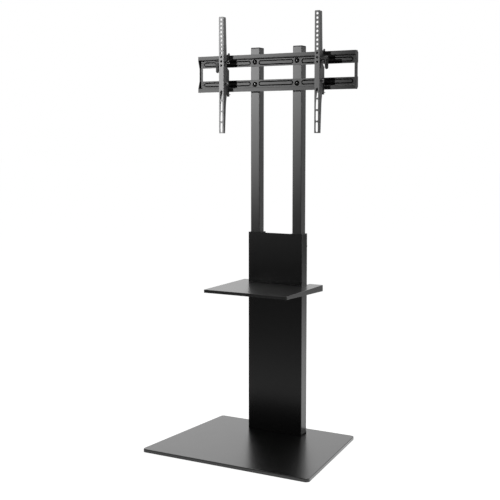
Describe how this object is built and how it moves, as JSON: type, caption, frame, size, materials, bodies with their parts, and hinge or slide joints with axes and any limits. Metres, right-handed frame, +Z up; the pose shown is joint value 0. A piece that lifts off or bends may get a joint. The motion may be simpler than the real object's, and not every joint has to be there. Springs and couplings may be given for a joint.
{
  "type": "tv stand with mount",
  "caption": "Floor stand for a flat screen: steel base, telescopic column behind a black panel, clamped shelf, and tilting arms hooked over pressed mounting rails.",
  "frame": {"origin": "on the floor under the middle of the base", "axes": "+X to the stand's right as seen from the front, +Y to the back, +Z up"},
  "size_m": [0.6724, 0.515, 1.611],
  "materials": {
    "base_paint": "glossy black powder coat",
    "frame_paint": "satin black powder coat",
    "panel_gloss": "gloss black",
    "mount_paint": "satin grey-black powder coat",
    "shelf_paint": "glossy black powder coat",
    "black_plastic": "fine grain",
    "foot_rubber": "matt",
    "zinc_steel": "zinc plated"
  },
  "bodies": {
    "base": {"base_tray": "base_paint", "base_ribs": "frame_paint", "base_feet": "foot_rubber", "foot_plate": "frame_paint", "base_bolts": "zinc_steel", "outer_tube_left": "frame_paint", "outer_tube_right": "frame_paint", "front_panel": "panel_gloss", "rear_braces": "frame_paint", "collar_left": "black_plastic", "collar_right": "black_plastic", "height_nuts": "zinc_steel"},
    "mast": {"upright_left": "frame_paint", "upright_right": "frame_paint", "upright_cap_left": "black_plastic", "upright_cap_right": "black_plastic", "glide_left": "black_plastic", "glide_right": "black_plastic", "upper_rail": "mount_paint", "lower_rail": "mount_paint", "end_plate_left": "mount_paint", "end_plate_right": "mount_paint", "rail_bolts": "zinc_steel", "rail_nuts": "zinc_steel"},
    "bracket_left": {"hook_bracket_left": "mount_paint", "guide_bolt_left": "zinc_steel", "lock_screw_left": "zinc_steel"},
    "bracket_right": {"hook_bracket_right": "mount_paint", "guide_bolt_right": "zinc_steel", "lock_screw_right": "zinc_steel"},
    "tilt_arm_left": {"arm_left": "mount_paint", "pivot_bolt_left": "zinc_steel"},
    "tilt_arm_right": {"arm_right": "mount_paint", "pivot_bolt_right": "zinc_steel"},
    "lever_left": {"tilt_lever_left": "black_plastic"},
    "lever_right": {"tilt_lever_right": "black_plastic"},
    "shelf": {"shelf_tray": "shelf_paint", "shelf_strap": "frame_paint", "shelf_nuts": "zinc_steel"},
    "height_clamp_left": {"height_knob_left": "black_plastic"},
    "height_clamp_right": {"height_knob_right": "black_plastic"},
    "shelf_clamp_left": {"shelf_knob_left": "black_plastic"},
    "shelf_clamp_right": {"shelf_knob_right": "black_plastic"}
  },
  "joints": [
    {"name": "height_slide", "type": "slide", "parent": "base", "child": "mast", "axis": [0, 0, 1], "range_m": [-0.4, 0.1]},
    {"name": "shelf_slide", "type": "slide", "parent": "base", "child": "shelf", "axis": [0, 0, 1], "range_m": [-0.5, 0.1]},
    {"name": "bracket_slide_left", "type": "slide", "parent": "mast", "child": "bracket_left", "axis": [1, 0, 0], "range_m": [-0.08, 0.1]},
    {"name": "bracket_slide_right", "type": "slide", "parent": "mast", "child": "bracket_right", "axis": [1, 0, 0], "range_m": [-0.1, 0.08]},
    {"name": "tilt_left", "type": "hinge", "parent": "bracket_left", "child": "tilt_arm_left", "pos_m": [-0.2, 0.1062, 1.44], "axis": [1, 0, 0], "range_deg": [-5, 10]},
    {"name": "tilt_lever_turn_left", "type": "hinge", "parent": "tilt_arm_left", "child": "lever_left", "pos_m": [-0.2248, 0.1062, 1.44], "axis": [1, 0, 0], "range_deg": [0, 90]},
    {"name": "height_knob_turn_left", "type": "hinge", "parent": "base", "child": "height_clamp_left", "pos_m": [-0.089, 0.215, 0.7393], "axis": [0, 1, 0], "range_deg": [0, 360]},
    {"name": "shelf_knob_turn_left", "type": "hinge", "parent": "shelf", "child": "shelf_clamp_left", "pos_m": [-0.089, 0.218, 0.58175], "axis": [0, 1, 0], "range_deg": [0, 360]},
    {"name": "tilt_right", "type": "hinge", "parent": "bracket_right", "child": "tilt_arm_right", "pos_m": [0.2, 0.1062, 1.44], "axis": [1, 0, 0], "range_deg": [-5, 10]},
    {"name": "tilt_lever_turn_right", "type": "hinge", "parent": "tilt_arm_right", "child": "lever_right", "pos_m": [0.2248, 0.1062, 1.44], "axis": [1, 0, 0], "range_deg": [0, 90]},
    {"name": "height_knob_turn_right", "type": "hinge", "parent": "base", "child": "height_clamp_right", "pos_m": [0.089, 0.215, 0.7393], "axis": [0, 1, 0], "range_deg": [0, 360]},
    {"name": "shelf_knob_turn_right", "type": "hinge", "parent": "shelf", "child": "shelf_clamp_right", "pos_m": [0.089, 0.218, 0.58175], "axis": [0, 1, 0], "range_deg": [0, 360]}
  ]
}
